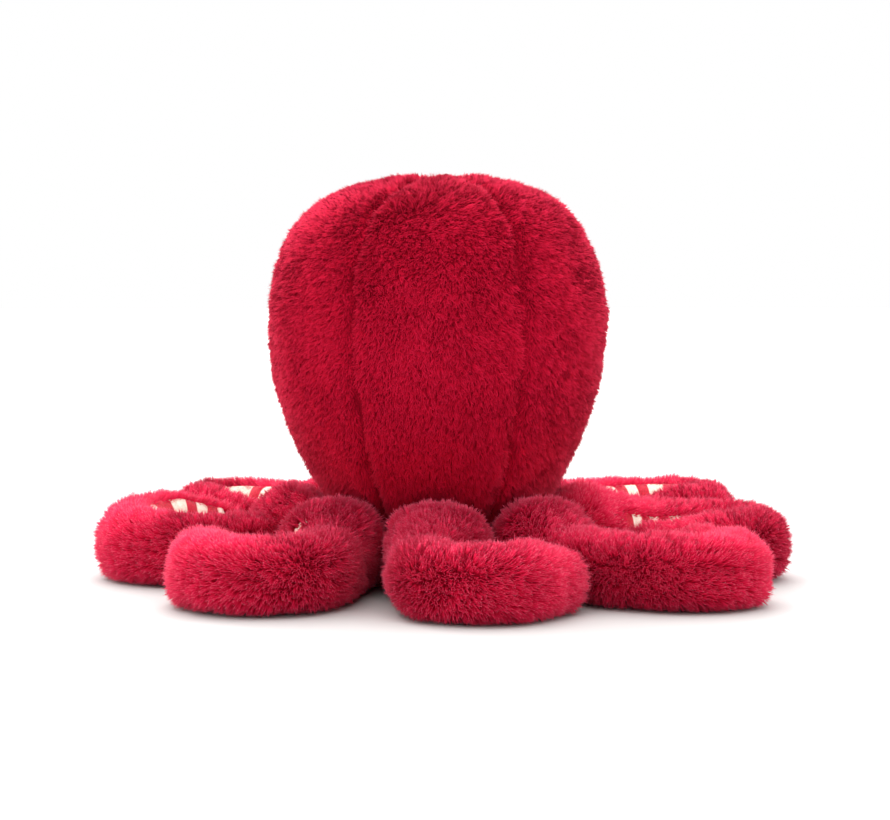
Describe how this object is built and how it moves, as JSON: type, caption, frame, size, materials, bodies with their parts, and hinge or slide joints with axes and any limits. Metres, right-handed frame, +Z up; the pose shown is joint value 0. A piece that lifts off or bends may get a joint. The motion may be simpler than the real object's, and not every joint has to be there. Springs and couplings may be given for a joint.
{
  "type": "plush octopus",
  "caption": "Furry stuffed octopus that sits on a weighted base, with curled arms that lift at their root seams and striped sucker strips.",
  "frame": {"origin": "middle of the base panel's underside, on the surface the toy sits on", "axes": "+Z up, -Y the way the face looks, +X the toy's left"},
  "size_m": [0.3486, 0.3266, 0.2006],
  "materials": {
    "plush_fur": "long soft pile",
    "striped_velour": "short pile with red and cream bands",
    "polyester_fibre": "loose fibre",
    "pouch_cloth": "plain weave",
    "pellets": "small beads",
    "eye_plastic": "polished",
    "washer_plastic": "moulded"
  },
  "bodies": {
    "body": {"head_panel_back": "plush_fur", "head_panel_back_right": "plush_fur", "head_panel_front_right": "plush_fur", "head_panel_front": "plush_fur", "head_panel_front_left": "plush_fur", "head_panel_back_left": "plush_fur", "head_stuffing": "polyester_fibre", "base_panel": "plush_fur", "bean_pouch": "pouch_cloth", "pellets": "pellets", "eye_left": "eye_plastic", "eye_right": "eye_plastic", "eye_washer_left": "washer_plastic", "eye_washer_right": "washer_plastic"},
    "arm_left": {"arm_left_sleeve": "plush_fur", "arm_left_sucker_strip": "striped_velour", "arm_left_stuffing": "polyester_fibre"},
    "arm_back_left": {"arm_back_left_sleeve": "plush_fur", "arm_back_left_sucker_strip": "striped_velour", "arm_back_left_stuffing": "polyester_fibre"},
    "arm_back": {"arm_back_sleeve": "plush_fur", "arm_back_sucker_strip": "striped_velour", "arm_back_stuffing": "polyester_fibre"},
    "arm_back_right": {"arm_back_right_sleeve": "plush_fur", "arm_back_right_sucker_strip": "striped_velour", "arm_back_right_stuffing": "polyester_fibre"},
    "arm_right": {"arm_right_sleeve": "plush_fur", "arm_right_sucker_strip": "striped_velour", "arm_right_stuffing": "polyester_fibre"},
    "arm_front_right": {"arm_front_right_sleeve": "plush_fur", "arm_front_right_sucker_strip": "striped_velour", "arm_front_right_stuffing": "polyester_fibre"},
    "arm_front": {"arm_front_sleeve": "plush_fur", "arm_front_sucker_strip": "striped_velour", "arm_front_stuffing": "polyester_fibre"},
    "arm_front_left": {"arm_front_left_sleeve": "plush_fur", "arm_front_left_sucker_strip": "striped_velour", "arm_front_left_stuffing": "polyester_fibre"}
  },
  "joints": [
    {"name": "arm_left_lift", "type": "hinge", "parent": "body", "child": "arm_left", "pos_m": [0.072, 0, 0.023], "axis": [0, -1, 0], "range_deg": [-10, 30]},
    {"name": "arm_back_left_lift", "type": "hinge", "parent": "body", "child": "arm_back_left", "pos_m": [0.05091, 0.05091, 0.023], "axis": [0.7071, -0.7071, 0], "range_deg": [-10, 30]},
    {"name": "arm_back_lift", "type": "hinge", "parent": "body", "child": "arm_back", "pos_m": [0, 0.072, 0.023], "axis": [1, 0, 0], "range_deg": [-10, 30]},
    {"name": "arm_back_right_lift", "type": "hinge", "parent": "body", "child": "arm_back_right", "pos_m": [-0.05091, 0.05091, 0.023], "axis": [0.7071, 0.7071, 0], "range_deg": [-10, 30]},
    {"name": "arm_right_lift", "type": "hinge", "parent": "body", "child": "arm_right", "pos_m": [-0.072, 0, 0.023], "axis": [0, 1, 0], "range_deg": [-10, 30]},
    {"name": "arm_front_right_lift", "type": "hinge", "parent": "body", "child": "arm_front_right", "pos_m": [-0.05091, -0.05091, 0.023], "axis": [-0.7071, 0.7071, 0], "range_deg": [-10, 30]},
    {"name": "arm_front_lift", "type": "hinge", "parent": "body", "child": "arm_front", "pos_m": [0, -0.072, 0.023], "axis": [-1, 0, 0], "range_deg": [-10, 30]},
    {"name": "arm_front_left_lift", "type": "hinge", "parent": "body", "child": "arm_front_left", "pos_m": [0.05091, -0.05091, 0.023], "axis": [-0.7071, -0.7071, 0], "range_deg": [-10, 30]}
  ]
}
